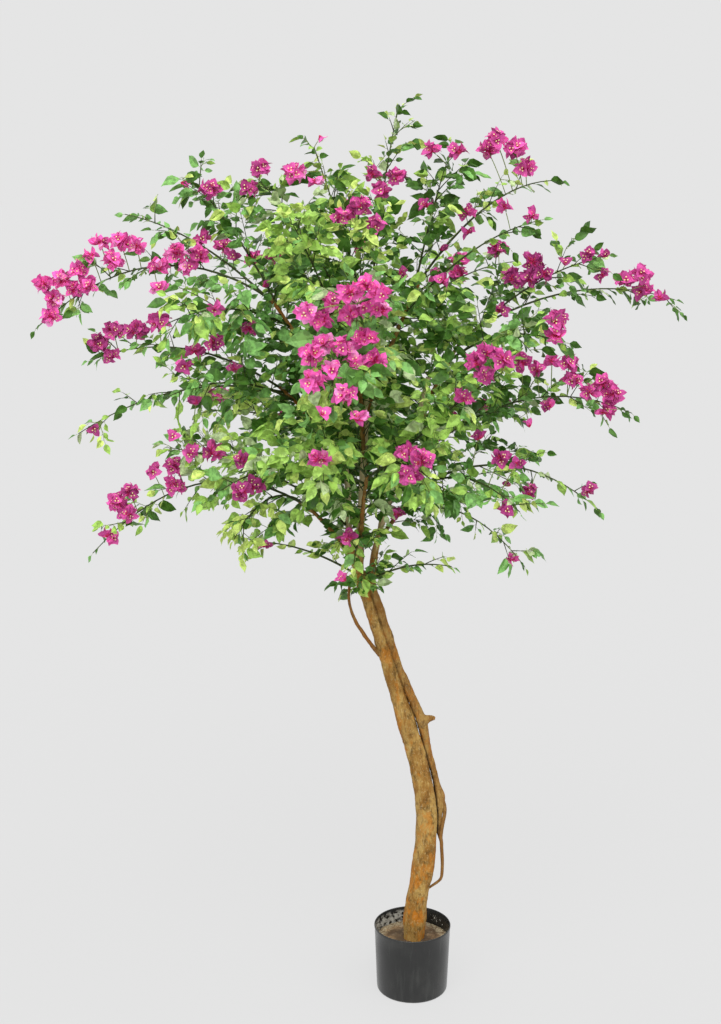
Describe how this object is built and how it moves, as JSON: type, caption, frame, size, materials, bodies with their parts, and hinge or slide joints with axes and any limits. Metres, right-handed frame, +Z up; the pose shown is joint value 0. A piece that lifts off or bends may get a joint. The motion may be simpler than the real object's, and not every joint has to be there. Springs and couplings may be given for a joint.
{
  "type": "artificial bougainvillea tree",
  "caption": "Artificial bougainvillea tree: two slender wooden stems, arching leafy sprays and papery magenta bracts, in a plain black nursery pot filled with mortar.",
  "frame": {"origin": "centre of the pot's flat underside", "axes": "+Z up, -Y towards the front that the crown's fullest flowers face, +X to the right seen from the front"},
  "size_m": [1.2595, 0.9461, 1.8256],
  "materials": {
    "plastic": "smooth satin black",
    "mortar": "rough cast mortar, sandy grey-brown",
    "bark": "dry natural bark, ochre-brown, slightly ridged",
    "foliage": "matt woven leaves with papery magenta bracts"
  },
  "bodies": {
    "root": {"pot": "plastic", "pot_fill": "mortar", "trunk": "bark", "second_stem": "bark", "low_vine": "bark", "high_vine": "bark", "limb_left": "bark", "limb_middle": "bark", "limb_right": "bark", "bough_back_high": "bark", "bough_back_low": "bark", "bough_front_high": "bark", "bough_front_low": "bark", "bough_left_high": "bark", "bough_left_low": "bark", "bough_left_middle": "bark", "bough_right_high": "bark", "bough_right_low": "bark", "bough_right_middle": "bark", "spray_back_high": "foliage", "spray_back_left_high": "foliage", "spray_back_left_low": "foliage", "spray_back_low": "foliage", "spray_back_middle": "foliage", "spray_back_right_high": "foliage", "spray_back_right_low": "foliage", "spray_crest_far_left": "foliage", "spray_crest_front": "foliage", "spray_crest_left": "foliage", "spray_crest_right": "foliage", "spray_crest_tip": "foliage", "spray_front_foot": "foliage", "spray_front_high": "foliage", "spray_front_left": "foliage", "spray_front_low": "foliage", "spray_front_middle": "foliage", "spray_front_right": "foliage", "spray_front_side": "foliage", "spray_front_top": "foliage", "spray_left_crest": "foliage", "spray_left_drooping": "foliage", "spray_left_far": "foliage", "spray_left_flowering": "foliage", "spray_left_front": "foliage", "spray_left_hanging": "foliage", "spray_left_inner": "foliage", "spray_left_side": "foliage", "spray_left_slender": "foliage", "spray_left_upper": "foliage", "spray_lower_left": "foliage", "spray_lower_right": "foliage", "spray_right_crest": "foliage", "spray_right_drooping": "foliage", "spray_right_far": "foliage", "spray_right_flowering": "foliage", "spray_right_front": "foliage", "spray_right_high": "foliage", "spray_right_inner": "foliage", "spray_right_slender": "foliage", "spray_right_upper": "foliage"}
  },
  "joints": []
}
